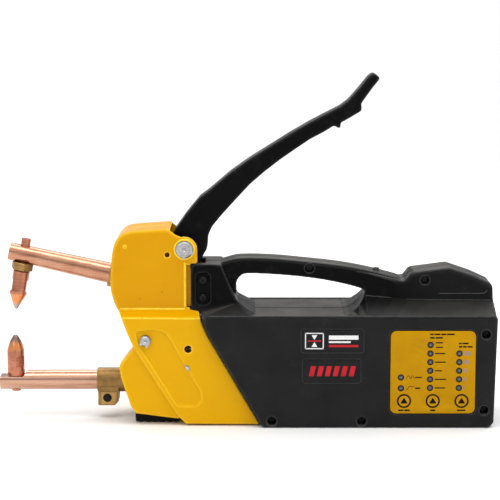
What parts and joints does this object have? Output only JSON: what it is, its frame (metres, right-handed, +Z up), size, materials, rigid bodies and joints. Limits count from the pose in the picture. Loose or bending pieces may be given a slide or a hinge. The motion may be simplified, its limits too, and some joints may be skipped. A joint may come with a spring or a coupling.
{
  "type": "hand-held spot welder",
  "caption": "Portable resistance spot welder: black case with loop handle, yellow pressed front covers, squeeze lever and two copper electrode arms.",
  "frame": {"origin": "on the ground under the middle of the machine's box, lever open", "axes": "+X towards the back of the case, arms point along -X; +Y the operator's right; +Z up"},
  "size_m": [0.4547, 0.096, 0.3179],
  "materials": {
    "body_plastic": "fine-textured satin black",
    "yellow_paint": "glossy stoved yellow paint",
    "panel_film": "satin mustard film",
    "label_film": "satin black film",
    "key_film": "satin dark film",
    "led_lens": "clear dark lens, unlit",
    "circuit_board": "green solder mask",
    "core_steel": "varnished laminations",
    "coil_wire": "enamelled wire under varnish",
    "bare_copper": null,
    "arm_copper": null,
    "electrode_copper": null,
    "cast_brass": "sand-cast brass, dull",
    "zinc_steel": "bright zinc plate",
    "black_steel": "black oxide",
    "heat_sink_metal": "mill finish",
    "module_plastic": "moulded black",
    "rubber": "matt black",
    "insulator": "phenolic laminate",
    "lever_coating": "cast lever with a satin black coating"
  },
  "bodies": {
    "housing": {"arm_pin_clip": "zinc_steel", "arm_pivot_pin": "zinc_steel", "arm_spacer_left": "zinc_steel", "arm_spacer_right": "zinc_steel", "cable_inlet_grommet": "rubber", "case_screw_base_front": "black_steel", "case_screw_base_rear": "black_steel", "case_screw_handle": "black_steel", "case_screw_rear_lower": "black_steel", "case_screw_rear_upper": "black_steel", "case_screw_spine": "black_steel", "control_board": "circuit_board", "control_panel": "panel_film", "current_led_guide": "led_lens", "flexible_shunt": "bare_copper", "front_foot": "rubber", "heat_sink": "heat_sink_metal", "left_body_shell": "body_plastic", "left_front_cover": "yellow_paint", "lever_pin_clip": "zinc_steel", "lever_pivot_pin": "zinc_steel", "lever_spacer_left": "zinc_steel", "lever_spacer_right": "zinc_steel", "lower_arm": "arm_copper", "lower_arm_holder": "cast_brass", "lower_bus_bar": "bare_copper", "lower_clamp_screw": "black_steel", "lower_electrode": "electrode_copper", "lower_label": "label_film", "microswitch": "module_plastic", "mode_led_guide": "led_lens", "neck_screw_left_lower": "black_steel", "neck_screw_left_upper": "black_steel", "neck_screw_right_lower": "black_steel", "neck_screw_right_upper": "black_steel", "primary_coil": "coil_wire", "return_spring": "zinc_steel", "right_body_shell": "body_plastic", "right_front_cover": "yellow_paint", "secondary_turn": "bare_copper", "spring_anchor_pin": "zinc_steel", "thyristor_module": "module_plastic", "timer_led_guide": "led_lens", "transformer_core": "core_steel", "upper_label": "label_film"},
    "lever": {"lever": "lever_coating", "roller_pin": "zinc_steel"},
    "cam_roller": {"cam_roller": "zinc_steel"},
    "upper_arm": {"upper_arm_carrier": "cast_brass", "upper_clamp_screw": "black_steel", "upper_arm": "arm_copper", "upper_electrode": "electrode_copper", "electrode_nut": "cast_brass", "arm_pivot_bush": "insulator"},
    "mode_button": {"mode_button": "key_film"},
    "current_button": {"current_button": "key_film"},
    "timer_button": {"timer_button": "key_film"},
    "switch_plunger": {"switch_plunger": "module_plastic"}
  },
  "joints": [
    {"name": "lever_hinge", "type": "hinge", "parent": "housing", "child": "lever", "pos_m": [-0.0551, 0, 0.1604], "axis": [0, 1, 0], "range_deg": [0, 44], "stiffness_Nm_per_rad": 0.5, "springref_deg": -80.21},
    {"name": "arm_hinge", "type": "hinge", "parent": "housing", "child": "upper_arm", "pos_m": [-0.0905, 0, 0.0785], "axis": [0, -1, 0], "range_deg": [0, 11]},
    {"name": "roller_spin", "type": "hinge", "parent": "lever", "child": "cam_roller", "pos_m": [-0.05702, 0, 0.13848], "axis": [0, 1, 0], "continuous": true},
    {"name": "mode_button_press", "type": "slide", "parent": "housing", "child": "mode_button", "axis": [0, 1, 0], "range_m": [0, 0.0006], "stiffness_N_per_m": 400, "springref_m": -0.001},
    {"name": "current_button_press", "type": "slide", "parent": "housing", "child": "current_button", "axis": [0, 1, 0], "range_m": [0, 0.0006], "stiffness_N_per_m": 400, "springref_m": -0.001},
    {"name": "timer_button_press", "type": "slide", "parent": "housing", "child": "timer_button", "axis": [0, 1, 0], "range_m": [0, 0.0006], "stiffness_N_per_m": 400, "springref_m": -0.001},
    {"name": "switch_plunger_press", "type": "slide", "parent": "housing", "child": "switch_plunger", "axis": [0, 0, -1], "range_m": [0, 0.003], "stiffness_N_per_m": 300, "springref_m": -0.002}
  ],
  "couplings": [
    {"joint": "arm_hinge", "follows": "lever_hinge", "ratio": 0.25}
  ]
}
